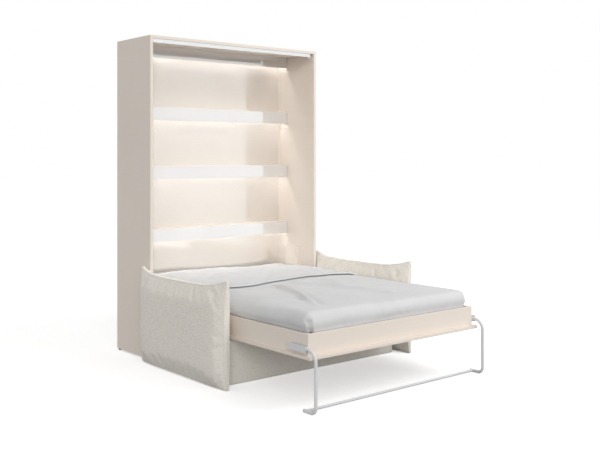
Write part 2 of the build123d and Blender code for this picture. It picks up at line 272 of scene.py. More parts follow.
def board_finish(colour):
    """Melamine board: a fine upright pore emboss, and a faint unevenness of tone and sheen."""
    f = Finish("cashmere_board", specular_ior_level=0.42)
    cloud = f.noise(2.2, detail=2.0)
    pores = f.noise(150.0, stretch=(6, 6, 1), detail=4.0, roughness=0.65)
    f.tone((cloud * 0.6 + pores * 0.4).between(0.3, 0.7), colour, 0.975, 1.02)
    f.set("Roughness", 0.46 + pores * 0.14)
    f.set("Normal", f.bump(pores, 0.00035, 0.35))
    return f.material


def gloss_finish(name, colour, coat, mirror):
    """Lacquered board: a smooth face with the slight waviness of a rolled lacquer."""
    f = Finish(name, specular_ior_level=0.55, coat_roughness=0.03, metallic=mirror)
    cloud = f.noise(3.0, detail=2.0)
    peel = f.noise(55.0, detail=1.0)
    f.tone(cloud.between(0.3, 0.7), colour, 0.985, 1.01)
    f.set("Roughness", 0.004 + cloud * 0.02)
    f.set("Coat Weight", coat + cloud * 0.05)
    f.set("Normal", f.bump(peel, 0.0001, 0.03))
    return f.material


def aluminium_finish(name, colour):
    """Anodised aluminium, drawn lengthwise."""
    f = Finish(name, metallic=1.0)
    drawn = f.noise(60.0, stretch=(0.15, 8, 8), detail=5.0)
    f.tone(drawn.between(0.35, 0.65), colour, 0.93, 1.04)
    f.set("Roughness", 0.28 + drawn * 0.16)
    f.set("Normal", f.bump(drawn, 0.0002, 0.12))
    return f.material


def opal_finish(colour, power):
    """Lit opal strip, a little weaker between its lamps."""
    f = Finish("led_opal", base_color=(0.9, 0.9, 0.88), roughness=0.5, emission_strength=power)
    dots = f.waves(30.0, "X")
    f.set("Emission Color", f.mix(dots, shade(colour, 0.93), colour))
    return f.material


def plastic_finish(name, colour):
    """Moulded plastic with a spark-eroded grain."""
    f = Finish(name)
    grain = f.noise(700.0, detail=3.0)
    cloud = f.noise(12.0, detail=2.0)
    f.tone(cloud, colour, 0.95, 1.03)
    f.set("Roughness", 0.42 + grain * 0.12)
    f.set("Normal", f.bump(grain, 0.0003, 0.25))
    return f.material


def zinc_finish(colour):
    """Zinc-plated steel: spangled tone over a rolled sheet."""
    f = Finish("zinc_steel", metallic=1.0)
    spangle = f.cells(90.0)
    rolled = f.noise(120.0, stretch=(1, 0.2, 1), detail=4.0)
    f.tone((spangle * 0.5 + rolled * 0.5).between(0.2, 0.7), colour, 0.86, 1.1)
    f.set("Roughness", 0.34 + rolled * 0.2)
    f.set("Normal", f.bump(rolled, 0.0002, 0.2))
    return f.material


def turned_finish(name, colour, roughness):
    """Turned or drawn metal: fine lines round or along the part."""
    f = Finish(name, metallic=1.0)
    lines = f.noise(400.0, stretch=(3, 0.4, 0.4), detail=3.0)
    f.tone(lines, colour, 0.92, 1.04)
    f.set("Roughness", roughness + lines * 0.1)
    f.set("Normal", f.bump(lines, 0.0001, 0.1))
    return f.material


def powder_finish(name, colour):
    """Powder coat: orange-peel skin with a soft sheen."""
    f = Finish(name, specular_ior_level=0.5)
    peel = f.noise(480.0, detail=2.0)
    cloud = f.noise(9.0, detail=2.0)
    f.tone(cloud, colour, 0.95, 1.05)
    f.set("Roughness", 0.36 + peel * 0.12)
    f.set("Normal", f.bump(peel, 0.0004, 0.22))
    return f.material


def wood_finish(name, pale, dark, along):
    """Wood: long streaks of grain along one axis, broken by finer pores."""
    f = Finish(name, specular_ior_level=0.4)
    stretch = [9.0, 9.0, 9.0]
    stretch["XYZ".index(along)] = 0.7
    streaks = f.noise(7.0, stretch=tuple(stretch), detail=5.0, roughness=0.6)
    pores = f.noise(60.0, stretch=tuple(stretch), detail=3.0)
    f.set("Base Color", f.mix((streaks * 0.75 + pores * 0.25).between(0.35, 0.68), pale, dark))
    f.set("Roughness", 0.48 + pores * 0.18)
    f.set("Normal", f.bump(pores, 0.0004, 0.3))
    return f.material


def cloth_finish(name, colour, thread, sheen):
    """Plain-woven cloth: two sets of fine threads crossing, and a soft unevenness."""
    f = Finish(name, roughness=0.85, sheen_weight=sheen, sheen_roughness=0.5, specular_ior_level=0.2)
    warp = f.waves(thread, "X", 1.5)
    weft = f.waves(thread, "Y", 1.5)
    cloud = f.noise(5.0, detail=3.0)
    f.tone(cloud.between(0.3, 0.7), colour, 0.97, 1.02)
    f.set("Normal", f.bump(warp * 0.5 + weft * 0.5, 0.0003, 0.18))
    return f.material


def boucle_finish(colour):
    """Looped cloth with finer curls of yarn on top; painted shade makes it pale on each crown and darker
    between.
    """
    f = Finish("boucle", roughness=0.93, sheen_weight=0.25, sheen_roughness=0.6, specular_ior_level=0.15)
    loop = f.node("ShaderNodeAttribute", {"attribute_name": "loop"}, {}, "Fac")
    curls = f.cells(260.0, stretch=(1, 0.6, 1))
    fibres = f.noise(520.0, detail=3.0, roughness=0.6)
    cloud = f.noise(130.0, stretch=(1, 0.5, 1), detail=3.0)
    # Painted shade: the loop and curl heights make the colour paler on their crowns and darker in the hollows
    # between; the cloud is random tone.
    tone = (loop * 0.4 + (1 - curls) * 0.2 + (cloud - 0.5) * 1.2 + 0.25).between(0.1, 0.9)
    stops = [(0.0, shade(colour, 0.83)), (0.5, shade(colour, 1.0)), (1.0, shade(colour, 1.09))]
    f.set("Base Color", f.ramp(tone, stops))
    f.set("Roughness", 0.9 + fibres * 0.08)
    f.set("Normal", f.bump(fibres, 0.0012, 0.5, f.bump(1 - curls, 0.0018, 0.6)))
    return f.material


FINISHES = {}


def all_finishes():
    """Every finish by its material slot, made once."""
    cabinet, hardware = bpy.context.scene.bed_cabinet, bpy.context.scene.bed_hardware
    sofa, bedding = bpy.context.scene.bed_sofa, bpy.context.scene.bed_bedding
    if "cashmere_board" in bpy.data.materials and FINISHES:
        return FINISHES
    board, steel = tuple(cabinet.board), tuple(hardware.steel)
    FINISHES.update(
        cashmere_board=board_finish(board),
        gloss_back=gloss_finish("gloss_back", tuple(cabinet.back), 0.0, 0.36),
        gloss_fascia=gloss_finish("gloss_fascia", tuple(cabinet.fascia), 0.25, 0.5),
        led_aluminium=aluminium_finish("led_aluminium", (0.80, 0.80, 0.80)),
        led_opal=opal_finish(tuple(cabinet.lamp), cabinet.lamp_power),
        closing_aluminium=aluminium_finish("closing_aluminium", (0.86, 0.87, 0.88)),
        white_plastic=plastic_finish("white_plastic", (0.80, 0.80, 0.79)),
        cover_plastic=plastic_finish("cover_plastic", tuple(hardware.plastic)),
        zinc_steel=zinc_finish(steel),
        bush_brass=turned_finish("bush_brass", (0.72, 0.55, 0.28), 0.28),
        strut_black=powder_finish("strut_black", (0.02, 0.02, 0.02)),
        strut_chrome=turned_finish("strut_chrome", (0.78, 0.78, 0.80), 0.08),
        leg_paint=powder_finish("leg_paint", tuple(hardware.leg)),
        black_plastic=plastic_finish("black_plastic", (0.025, 0.025, 0.025)),
        birch=wood_finish("birch", (0.70, 0.52, 0.33), (0.52, 0.34, 0.18), "X"),
        sofa_timber=wood_finish("sofa_timber", (0.62, 0.44, 0.26), (0.42, 0.26, 0.13), "Y"),
        ticking=cloth_finish("ticking", tuple(bedding.ticking), 380.0, 0.1),
        bed_linen=cloth_finish("bed_linen", tuple(bedding.linen), 620.0, 0.15),
        boucle=boucle_finish(tuple(sofa.cloth)),
    )
    return FINISHES


NODE_SLOTS = {part["node"]: part["material_slot"] for part in frame["record"]["subparts"]}


def finish_nodes(*slots):
    """Gives every CAD node of these material slots its finish."""
    finishes = all_finishes()
    for name, obj in frame["nodes"].items():
        if NODE_SLOTS[name] in slots:
            for place in obj.material_slots:
                place.material = finishes[NODE_SLOTS[name]]


# ---------------------------------------------------------------- surfaces

def grid_lines(low, high, counts):
    """Evenly spaced grid lines between two corners, one row for each axis."""
    return [np.linspace(*span) for span in zip(low, high, counts)]


def box_grid(xs, ys, zs, open_sides=()):
    """The skin of a box as a welded grid.

    Every pair of neighbouring lines on each of the six sides makes one quad; a side in `open_sides`, given as
    (axis, 0 for its low end or 1 for its high end), is left out.
    """
    sizes = (len(xs), len(ys), len(zs))
    quads = []
    for axis in range(3):
        first, second = (axis + 1) % 3, (axis + 2) % 3
        a, b = np.meshgrid(np.arange(sizes[first] - 1), np.arange(sizes[second] - 1), indexing="ij")
        for end in (0, 1):
            if (axis, end) in open_sides:
                continue
            corners = []
            for step_a, step_b in ((0, 0), (1, 0), (1, 1), (0, 1)):
                index = [None, None, None]
                index[axis] = np.full_like(a, end * (sizes[axis] - 1))
                index[first] = a + step_a
                index[second] = b + step_b
                corners.append((index[0] * sizes[1] + index[1]) * sizes[2] + index[2])
            side = np.stack(corners, -1).reshape(-1, 4)
            quads.append(side if end else side[:, ::-1])
    used, quads = np.unique(np.concatenate(quads), return_inverse=True)
    i, rest = np.divmod(used, sizes[1] * sizes[2])
    j, k = np.divmod(rest, sizes[2])
    points = np.stack([np.asarray(xs)[i], np.asarray(ys)[j], np.asarray(zs)[k]], -1)
    return points.astype(float), quads.reshape(-1, 4)


def rounded(points, low, high, radii):
    """A box's skin with its edges rounded.

    Each point is split into the nearest point of the box shrunk by the radii, and its offset from it in
    radii. The offset keeps its direction and its length becomes its longest component, which turns a cube's
    corner into an eighth of an ellipsoid. One row of radii serves every point, or each point has its own.
    """
    radii = np.asarray(radii, float)
    core = np.clip(points, np.asarray(low) + radii, np.asarray(high) - radii)
    offset = (points - core) / radii
    longest = np.abs(offset).max(1, keepdims=True)
    length = np.linalg.norm(offset, axis=1, keepdims=True)
    return core + offset * radii * longest / np.maximum(length, 1e-9)


def normals(points, quads):
    """Unit normals at the points: the sum of the neighbouring quads' diagonals' cross products."""
    a, b, c, d = (points[quads[:, n]] for n in range(4))
    face = np.cross(c - a, d - b)
    total = np.zeros_like(points)
    for n in range(4):
        np.add.at(total, quads[:, n], face)
    return total / np.maximum(np.linalg.norm(total, axis=1, keepdims=True), 1e-12)


def smooth_step(value, low, high):
    """0 up to `low`, 1 from `high`, and 3t^2 - 2t^3 between them."""
    t = np.clip((value - low) / (high - low), 0, 1)
    return t * t * (3 - 2 * t)


def curve_through(value, stations):
    """A smooth curve through (place, height) points, in cubic pieces whose slopes agree where they meet."""
    places, heights = np.array(stations, float).T
    slopes = np.gradient(heights, places)
    n = np.clip(np.searchsorted(places, value) - 1, 0, len(places) - 2)
    width = places[n + 1] - places[n]
    t = np.clip((value - places[n]) / width, 0, 1)
    return (
        heights[n] * (2 * t**3 - 3 * t**2 + 1)
        + heights[n + 1] * (3 * t**2 - 2 * t**3)
        + width * slopes[n] * (t**3 - 2 * t**2 + t)
        + width * slopes[n + 1] * (t**3 - t**2)
    )


def hashed(cells, seed):
    """Three even random numbers from 0 to 1 for each whole-number cell, the same every time."""
    mixed = (cells * np.array([73856093, 19349663, 83492791])).sum(-1) + seed * 2654435761
    out = []
    for turn in (1, 2, 3):
        mixed = (mixed ^ (mixed >> 13)) * 1274126177 & 0xFFFFFFFF
        mixed = mixed ^ (mixed >> 16)
        out.append((mixed & 0xFFFF) / 65535.0)
    return np.stack(out, -1)


LOOP_REACH = 0.75  # square of a loop's radius, in cells


def loops(points, size, seed):
    """Yarn loops, one scattered over each cell: a dome that falls from 1 at its middle to 0."""
    place = points / size
    base = np.floor(place).astype(np.int64)
    nearest = np.full(len(points), 9.0)
    for step in np.ndindex(3, 3, 3):
        cell = base + np.array(step) - 1
        nearest = np.minimum(nearest, ((cell + hashed(cell, seed) - place) ** 2).sum(-1))
    return np.clip(1 - nearest / LOOP_REACH, 0, 1)


def drift(x, y, wavelength, seed):
    """A gentle swell, about -1 to 1: six waves of like length in random directions, added up."""
    draw = np.random.default_rng(seed)
    total = np.zeros_like(x)
    for angle, phase, stretch in draw.uniform((0, 0, 0.7), (math.tau, math.tau, 1.4), (6, 3)):
        along = x * math.cos(angle) + y * math.sin(angle)
        total = total + np.sin(along * math.tau / (wavelength * stretch) + phase)
    return total / 3.2


def to_path(x, y, path):
    """Distance from a line of straight runs, positive to its left, and the place along it from 0 to 1."""
    path = np.asarray(path, float)
    runs = np.linalg.norm(np.diff(path, axis=0), axis=1)
    best, side, along = np.full(x.shape, 1e9), np.ones_like(x), np.zeros_like(x)
    done = 0.0
    for start, end, run in zip(path[:-1], path[1:], runs):
        step = (end - start) / run
        t = np.clip((x - start[0]) * step[0] + (y - start[1]) * step[1], 0, run)
        dx, dy = x - start[0] - t * step[0], y - start[1] - t * step[1]
        gap = np.hypot(dx, dy)
        nearer = gap < best
        best = np.where(nearer, gap, best)
        side = np.where(nearer, np.sign(step[0] * dy - step[1] * dx), side)
        along = np.where(nearer, (done + t) / runs.sum(), along)
        done += run
    return best * side, along


VALLEY_DEPTH, VALLEY_OFFSET = 0.5, 1.6  # of the ridge's height, and of its width


def crease(x, y, path, width, height):
    """A crease in cloth: a ridge on a path, with a shallower valley to its left, fading out at both ends.

    The ridge is e^-(d/width)^2, and the valley is the same bell, shallower and moved to the left.
    """
    gap, along = to_path(x, y, path)
    fade = smooth_step(along, 0.0, 0.22) * (1 - smooth_step(along, 0.7, 1.0))
    ridge = np.exp(-((gap / width) ** 2))
    valley = VALLEY_DEPTH * np.exp(-(((gap - VALLEY_OFFSET * width) / width) ** 2))
    return height * fade * (ridge - valley)


def tube(path, radius, sides=8):
    """A closed cord along a closed path: circles square to the path's run, kept level by the X axis."""
    run = np.roll(path, -1, 0) - np.roll(path, 1, 0)
    run /= np.linalg.norm(run, axis=1, keepdims=True)
    across = np.array([1.0, 0, 0]) - run * run[:, :1]
    across /= np.linalg.norm(across, axis=1, keepdims=True)
    up = np.cross(run, across)
    turn = np.arange(sides) * math.tau / sides
    ring = np.cos(turn)[None, :, None] * across[:, None] + np.sin(turn)[None, :, None] * up[:, None]
    points = (path[:, None] + radius * ring).reshape(-1, 3)
    i, j = np.meshgrid(np.arange(len(path)), np.arange(sides), indexing="ij")
    next_i, next_j = (i + 1) % len(path), (j + 1) % sides
    quads = np.stack([i * sides + j, next_i * sides + j, next_i * sides + next_j, i * sides + next_j], -1)
    return points, quads.reshape(-1, 4)


def to_frame(points):
    """Cabinet millimetres to the row frame's metres."""
    return points * MM + np.array([0.0, FRONT_PLANE, 0.0])


def new_object(name, points, quads):
    """An object in the scene with a mesh of these points and quads."""
    mesh = bpy.data.meshes.new(name)
    mesh.from_pydata(points, [], quads)
    obj = bpy.data.objects.new(name, mesh)
    bpy.context.scene.collection.objects.link(obj)
    return obj


def make_piece(name, points, quads, slot, body="root"):
    """A smooth-shaded piece from points in the row frame, in its finish, riding on its body."""
    obj = new_object(name, points, quads)
    obj.data.shade_smooth()
    obj.data.materials.append(all_finishes()[slot])
    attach(obj, body)
    return obj


def mesh_arrays(mesh):
    """A mesh's points and quads as arrays."""
    points = np.empty(len(mesh.vertices) * 3)
    mesh.vertices.foreach_get("co", points)
    quads = np.empty(len(mesh.loops), np.int32)
    mesh.loops.foreach_get("vertex_index", quads)
    return points.reshape(-1, 3), quads.reshape(-1, 4)


def inflate(name, points, quads, seam, pressure, growth, cap, frames=18):
    """A sewn cover's points after it is filled: cloth under even pressure, a share larger than its pattern.

    `seam` is 1 where the cover is held and 0 where it is free, and no point moves further than `cap`.
    """
    scene = bpy.context.scene
    obj = new_object(name, points, quads)
    group = obj.vertex_groups.new(name="seam")
    for weight in np.unique(seam[seam > 0]):
        group.add(np.flatnonzero(seam == weight).tolist(), float(weight), "REPLACE")
    cloth = obj.modifiers.new("cover", "CLOTH")
    settings = cloth.settings
    settings.vertex_group_mass = "seam"
    settings.use_pressure = True
    settings.uniform_pressure_force = pressure
    settings.shrink_min = -growth
    settings.tension_stiffness = 20
    settings.compression_stiffness = 20
    settings.bending_stiffness = 0.8
    settings.effector_weights.gravity = 0
    cloth.point_cache.frame_start = 1
    cloth.point_cache.frame_end = frames
    for number in range(1, frames + 1):
        scene.frame_set(number)
    evaluated = obj.evaluated_get(bpy.context.evaluated_depsgraph_get())
    filled, _ = mesh_arrays(evaluated.data)
    scene.frame_set(1)
    bpy.data.meshes.remove(obj.data)
    moved = filled - points
    far = np.linalg.norm(moved, axis=1, keepdims=True)
    return points + moved * np.minimum(1, cap / np.maximum(far, 1e-9))


def divided(points, quads, levels):
    """The points and quads after a smooth subdivision."""
    obj = new_object("dividing", points, quads)
    finer = obj.modifiers.new("finer", "SUBSURF")
    finer.levels = finer.render_levels = levels
    fine = bpy.data.meshes.new_from_object(obj.evaluated_get(bpy.context.evaluated_depsgraph_get()))
    result = mesh_arrays(fine)
    for used in (obj.data, fine):
        bpy.data.meshes.remove(used)
    return result


def store_loops(obj, height):
    """Keeps the loops' height at each point for the finish, which paints shade between the loops from it."""
    layer = obj.data.attributes.new("loop", "FLOAT", "POINT")
    layer.data.foreach_set("value", height.astype(np.float32))


def looped_cloth(name, points, quads, seed):
    """A boucle piece: its skin is pushed out along its normals by its loops."""
    sofa = bpy.context.scene.bed_sofa
    height = loops(points * np.array([1.0, 0.72, 1.0]), sofa.nub, seed)
    height = 0.75 * height + 0.25 * loops(points, sofa.nub * 0.55, seed + 50)
    lifted = points + normals(points, quads) * (height[:, None] - 0.5) * sofa.nub_height
    obj = make_piece(name, lifted, quads, "boucle")
    store_loops(obj, height)
    return obj


# ---------------------------------------------------------------- sofa

ARM_MIDDLE = 816  # X at the middle of a cushion's thickness
ARM_LENGTH, ARM_HEIGHT = 1035, 640
ARM_STRIP_ENDS = 9  # half the strip's width at the corners
CORNER = 18  # radius of the lower rear corner
BULGE_REACH = 45
STRIP_ROUND = 5  # how far the strip stands out along its middle
ARM_TOP_LINE = (
    (0.0, 672), (0.03, 656), (0.09, 636), (0.2, 626), (0.45, 622),
    (0.64, 624), (0.8, 631), (0.9, 648), (0.96, 665), (1.0, 676),
)
ARM_FRONT_LINE = ((0.0, -1009), (0.12, -1001), (0.5, -995), (0.85, -1002), (1.0, -1013))
ARM_REAR_LINE = ((0.0, 25), (0.5, 26), (0.85, 28), (1.0, 31))
ARM_BOTTOM_LINE = ((0.0, 4), (0.2, 6), (0.6, 6), (1.0, 1))
ARM_RIM_COUNTS = (160, 100)  # points along a long and a short side of the rim


def arm_shape(a, u, v, side):
    """Points of an arm cushion in millimetres.

    `u` runs from the rear edge to the front one and `v` from the bottom to the top, between four edge curves:
    the top one sags between two ears, and the lower rear corner is rounded. `a` runs through the thickness
    from -1 inside to 1 outside. Half the thickness is the strip's, narrowed towards the corners, plus a bulge
    that grows as 1 - e^-(d/reach) from each edge.
    """
    sofa = bpy.context.scene.bed_sofa
    boxing, bulge = sofa.arm_boxing / MM, sofa.arm_bulge / MM
    top, bottom = curve_through(u, ARM_TOP_LINE), curve_through(u, ARM_BOTTOM_LINE)
    front, rear = curve_through(v, ARM_FRONT_LINE), curve_through(v, ARM_REAR_LINE)
    y = rear + (front - rear) * u
    z = bottom + (top - bottom) * v
    near_y, near_z = np.clip((rear - y) / CORNER, 0, 1), np.clip((z - bottom) / CORNER, 0, 1)
    inside = np.hypot(1 - near_y, 1 - near_z)
    pull = np.where(inside > 0, np.maximum(1 - near_y, 1 - near_z) / np.maximum(inside, 1e-9), 1)
    round_y = rear - CORNER + (1 - near_y) * pull * CORNER - np.maximum(rear - CORNER - y, 0)
    round_z = bottom + CORNER - (1 - near_z) * pull * CORNER + np.maximum(z - bottom - CORNER, 0)
    in_corner = near_y * near_z < 1
    y, z = np.where(in_corner, round_y, y), np.where(in_corner, round_z, z)
    to_ends = np.minimum(u, 1 - u) * ARM_LENGTH
    to_sides = np.minimum(v, 1 - v) * ARM_HEIGHT
    widened = smooth_step(np.maximum(to_ends, to_sides), 0, 190)
    strip = ARM_STRIP_ENDS + (boxing - ARM_STRIP_ENDS) * widened
    full = (1 - np.exp(-to_ends / BULGE_REACH)) * (1 - np.exp(-to_sides / BULGE_REACH))
    half = strip + (bulge - strip) * full
    round_edge = STRIP_ROUND * (1 - a * a)
    y = y + round_edge * ((u == 0) * 1.0 - (u == 1) * 1.0) * smooth_step(to_sides, 0, 120)
    z = z + round_edge * ((v == 1) * 1.0) * smooth_step(to_ends, 0, 120)
    return np.stack([side * (ARM_MIDDLE + a * half), y, z], -1)


def make_arm(name, side, seed):
    """One arm: a boxed cushion, filled, covered in looped cloth, with a welt round each face."""
    sofa = bpy.context.scene.bed_sofa
    unit, quads = box_grid(*grid_lines((-1, 0, 0), (1, 1, 1), (5, 65, 43)))
    a, u, v = unit.T
    if side > 0:
        quads = quads[:, ::-1]
    points = to_frame(arm_shape(a, u, v, side))
    on_rim = (u == 0) | (u == 1) | (v == 0) | (v == 1)
    points = inflate(name + "_cover", points, quads, on_rim * 1.0, 2.0, 0.02, 0.012)
    points, quads = divided(points, quads, 2)
    arm = looped_cloth(name.replace("arm", "arm_cushion"), points, quads, seed)
    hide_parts(name)
    forward, up = (np.linspace(0, 1, count)[:-1] for count in ARM_RIM_COUNTS)
    back, down = (np.linspace(1, 0, count)[:-1] for count in ARM_RIM_COUNTS)
    rim_u = np.concatenate([forward, np.ones_like(up), back, np.zeros_like(down)])
    rim_v = np.concatenate([np.zeros_like(forward), up, np.ones_like(back), down])
    cords = []
    for face in (-1.0, 1.0):
        path = to_frame(arm_shape(np.full_like(rim_u, face), rim_u, rim_v, side))
        path = (np.roll(path, 1, 0) + path + np.roll(path, -1, 0)) / 3
        cords.append(tube(path, sofa.welt))
    (inner, quads), (outer, _) = cords
    points = np.concatenate([inner, outer])
    quads = np.concatenate([quads, quads + len(inner)])
    welt = make_piece(name.replace("arm", "arm_welt"), points, quads, "boucle")
    store_loops(welt, loops(points, 0.004, seed))


SEAT_LOW, SEAT_HIGH = (-752, -905, -12), (752, -4, 292)
SEAT_HEM = 1.5  # height of the cover's lower edge


def make_seat():
    """The seat base: a rounded block in looped cloth, open underneath, with a swell and a centre seam."""
    points, quads = box_grid(*grid_lines(SEAT_LOW, SEAT_HIGH, (230, 120, 50)), [(2, 0)])
    points = rounded(points, SEAT_LOW, SEAT_HIGH, (26, 26, 20))
    x, y, z = points.T
    points[:, 2] = np.maximum(z, SEAT_HEM)
    swell = np.clip(1 - (x / SEAT_HIGH[0]) ** 2, 0, 1) * np.clip(1 - ((z - 148) / 143) ** 2, 0, 1)
    points[:, 1] -= 5 * swell * (y < -880)
    seam = np.exp(-((np.abs(x) / 9) ** 2)) * (z > 270)
    points[:, 2] -= 9 * seam
    points = to_frame(points)
    seat = looped_cloth("seat_cover", points, quads, 31)
    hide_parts("seat_upholstery")


# ---------------------------------------------------------------- bedding

MATTRESS_LOW, MATTRESS_HIGH = (-684, -1628, 385), (684, 364, 521)
DUVET_HALF_W = 708
DUVET_FOOT, DUVET_HEAD = -1647, 381
DUVET_LOW = 437
FOOT_EDGE = 62  # reach of the rounding at the foot
GATHER = 50  # from one gather at the foot to the next
SIDE_TUCK, FOOT_TUCK = 15, 8  # how far the hem goes in
PLEAT_DEPTH, NOTCH_DEPTH = 26, 52  # at the left and the right foot corner
LEFT_EDGE = ((-1647, 55), (-1530, 60), (-1226, 125), (-684, 205), (-400, 210), (381, 210))
RIGHT_EDGE = ((-1647, 55), (-1530, 60), (-1226, 75), (-684, 85), (381, 90))
CREASES = (  # path, width and height of each
    (((-128, -566), (-29, -680), (73, -877), (149, -1176), (201, -1496)), 22, 26.0),
    (((-150, -572), (-190, -720), (-296, -1081), (-420, -1330), (-528, -1560)), 27, 30.0),
    (((217, -1050), (205, -1300), (195, -1540)), 20, 16.0),
    (((330, -560), (300, -760), (180, -980)), 40, 8.0),
    (((-560, -900), (-500, -1150), (-470, -1400)), 45, 9.0),
    (((430, -700), (470, -1000), (540, -1300)), 50, 7.0),
)
FOLD_LINE = (
    (-720, -560), (-600, -566), (-477, -578), (-337, -590), (-139, -541),
    (92, -503), (301, -483), (478, -506), (653, -560), (720, -580),
)
FLAT_SHARE, BEND_SHARE, HANG_SHARE = 0.72, 0.22, 0.06  # of the fold's half width, from its middle out
FOLD_GAP = 0.6  # least distance from the duvet


def duvet_lift(x, y):
    """How far the duvet's top stands above its level: swells, creases, and a drop at the head's right."""
    lift = 3.5 * drift(x, y, 520, 5) + 1.2 * drift(x, y, 170, 6)
    lift = lift + 5 * np.exp(-(((x + 520) / 190) ** 2)) * smooth_step(-y, 900, 1300)
    lift = lift - 15 * smooth_step(x, -250, 400) * smooth_step(y, -40, 200)
    for path, width, height in CREASES:
        lift = lift + crease(x, y, path, width, height)
    return lift


def make_mattress():
    """The mattress: a rounded block, quilted in shallow squares."""
    points, quads = box_grid(*grid_lines(MATTRESS_LOW, MATTRESS_HIGH, (100, 140, 14)))
    points = rounded(points, MATTRESS_LOW, MATTRESS_HIGH, (135, 60, 96))
    points[:, 2] = np.maximum(points[:, 2], MATTRESS_LOW[2])
    x, y, z = points.T
    quilt = np.abs(np.sin(x * math.pi / 172) * np.sin(y * math.pi / 166)) ** 0.5
    points[:, 2] += np.where(z > 500, 5 * quilt - 4, 0)
    mattress = make_piece("quilted_mattress", to_frame(points), quads, "ticking", "bed")
    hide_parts("mattress")


def side_edge(x, y):
    """How far in a side of the duvet starts to fall, and how far down its rounding reaches."""
    reach = np.where(x < 0, curve_through(y, LEFT_EDGE), curve_through(y, RIGHT_EDGE))
    return reach, 45 + 0.3 * reach


def square_corners(points, wide, top):
    """Draws the duvet's two foot corners out towards their square, below its top, as hanging cloth does."""
    across = (np.abs(points[:, 0]) - (DUVET_HALF_W - wide)) / wide
    along = (DUVET_FOOT + FOOT_EDGE - points[:, 1]) / FOOT_EDGE
    corner = (across > 0) & (along > 0)
    u, v = np.maximum(across, 1e-6), np.maximum(along, 1e-6)
    stretch = np.where(corner, np.hypot(u, v) / (u**7 + v**7) ** (1 / 7), 1)
    stretch = 1 + (stretch - 1) * smooth_step(top - points[:, 2], 25, 80)
    drawn_x = np.sign(points[:, 0]) * (DUVET_HALF_W - wide + u * stretch * wide)
    points[:, 0] = np.where(corner, drawn_x, points[:, 0])
    points[:, 1] = np.where(corner, DUVET_FOOT + FOOT_EDGE - v * stretch * FOOT_EDGE, points[:, 1])


def foot_gathers(x, y, z):
    """How far the duvet's foot stands in: close gathers near the middle and a slow swell, none at its hem."""
    foot = smooth_step(-y, 1600, 1636) * (1 - smooth_step(np.abs(x), 560, 690))
    waves = np.sin((x + 24 * drift(x, z, 130, 9)) * math.tau / GATHER)
    gathers = waves * np.exp(-(((x + 40) / 190) ** 2)) + 0.5 * drift(x, z, 90, 9)
    return foot * (2.2 * gathers + 1.5) * smooth_step(z, DUVET_LOW, DUVET_LOW + 25)


def side_ripples(x, y, z):
    """How far the duvet's sides stand in, by slow ripples, none at their hem."""
    ripple = drift(y, z * 2, 260, 12) + 0.5 * drift(y, z, 120, 13)
    side = np.sign(x) * smooth_step(np.abs(x), 660, 696)
    return side * (2.5 + 2.5 * ripple) * smooth_step(z, DUVET_LOW, DUVET_LOW + 30)


def duvet_skin(points):
    """The duvet's outside from its box's skin: rounded falls, swells, gathers and pleats."""
    top = bpy.context.scene.bed_bedding.crown / MM
    low, high = (-DUVET_HALF_W, DUVET_FOOT, DUVET_LOW - 200), (DUVET_HALF_W, DUVET_HEAD, top)
    wide, tall = side_edge(*points.T[:2])
    points = rounded(points, low, high, np.stack([wide, np.full_like(wide, FOOT_EDGE), tall], -1))
    square_corners(points, wide, top)
    x, y, z = points.T.copy()
    upper = smooth_step(z, top - 45, top - 4)
    points[:, 2] += duvet_lift(x, y) * upper
    points[:, 1] += foot_gathers(x, y, z)
    points[:, 0] -= side_ripples(x, y, z)
    tucked = 1 - smooth_step(z, DUVET_LOW, DUVET_LOW + 46)
    points[:, 0] -= np.sign(x) * smooth_step(np.abs(x), 600, 690) * SIDE_TUCK * tucked
    points[:, 1] += smooth_step(-y, 1560, 1630) * FOOT_TUCK * tucked
    below = 1 - smooth_step(z, 492, 526)
    pleat = smooth_step(-x, 668, 676) * (1 - smooth_step(-x, 698, 704)) * smooth_step(-y, 1560, 1647)
    notch = smooth_step(x, 668, 678) * smooth_step(-y, 1490, 1647)
    points[:, 1] += (PLEAT_DEPTH * pleat + NOTCH_DEPTH * notch) * below
    return points


def make_duvet():
    """The duvet: a skin draped over the mattress and tucked inside the rails, with its own thickness."""
    wide = DUVET_HALF_W
    runs = [(-wide, -640, 18), (-632, 632, 128), (640, wide, 18)]
    across = np.concatenate([np.linspace(*run) for run in runs])
    along = np.concatenate([np.linspace(DUVET_FOOT, -1560, 16), np.linspace(-1550, DUVET_HEAD, 190)])
    top = bpy.context.scene.bed_bedding.crown / MM
    points, quads = box_grid(across, along, np.linspace(DUVET_LOW, top, 15), [(2, 0)])
    duvet = make_piece("duvet_cover", to_frame(duvet_skin(points)), quads, "bed_linen", "bed")
    wall = duvet.modifiers.new("filling", "SOLIDIFY")
    wall.thickness = 0.009
    wall.offset = -1
    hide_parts("duvet")


